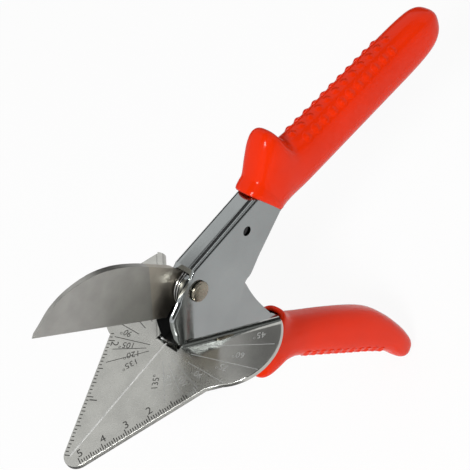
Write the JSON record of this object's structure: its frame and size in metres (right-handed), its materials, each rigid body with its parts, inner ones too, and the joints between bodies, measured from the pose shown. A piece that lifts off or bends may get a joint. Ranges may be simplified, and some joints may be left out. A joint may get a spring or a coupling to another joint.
{
  "type": "mitre shears",
  "caption": "Hand shears with a curved blade that closes on a flat mitre plate with round angle-marked ears, folded chromed levers and orange textured grips with guards.",
  "frame": {"origin": "on the flat underside of the mitre plate, under the point where its angle lines meet moved 22 mm toward the nose", "axes": "+X runs back along the plate to the ends of the handles, +Y away from the side with the spring, +Z out of the top of the plate"},
  "size_m": [0.235, 0.0811, 0.1927],
  "materials": {
    "chrome": "bright plated sheet",
    "satin": "satin",
    "blade": "ground",
    "rivet": "satin",
    "wire": "drawn",
    "grip": "gloss"
  },
  "bodies": {
    "upper_member": {"upper_lever": "chrome", "mitre_plate": "satin", "plate_carrier": "satin", "carrier_rivet_1": "rivet", "carrier_rivet_2": "rivet", "plate_rivet_1": "rivet", "plate_rivet_2": "rivet", "pivot_rivet": "rivet", "pivot_bush": "satin", "opening_spring": "wire", "upper_grip": "grip"},
    "lower_member": {"lower_lever": "chrome", "blade": "blade", "tang_rivet_1": "rivet", "tang_rivet_2": "rivet", "tang_rivet_3": "rivet", "tang_spacer_1": "rivet", "tang_spacer_2": "rivet", "tang_spacer_3": "rivet", "lower_grip": "grip"}
  },
  "joints": [
    {"name": "pivot", "type": "hinge", "parent": "upper_member", "child": "lower_member", "pos_m": [0.0444, 0, 0.0152], "axis": [0, -1, 0], "range_deg": [0, 46.2], "stiffness_Nm_per_rad": 0.1, "springref_deg": -51.57, "deforming": ["opening_spring"]}
  ]
}
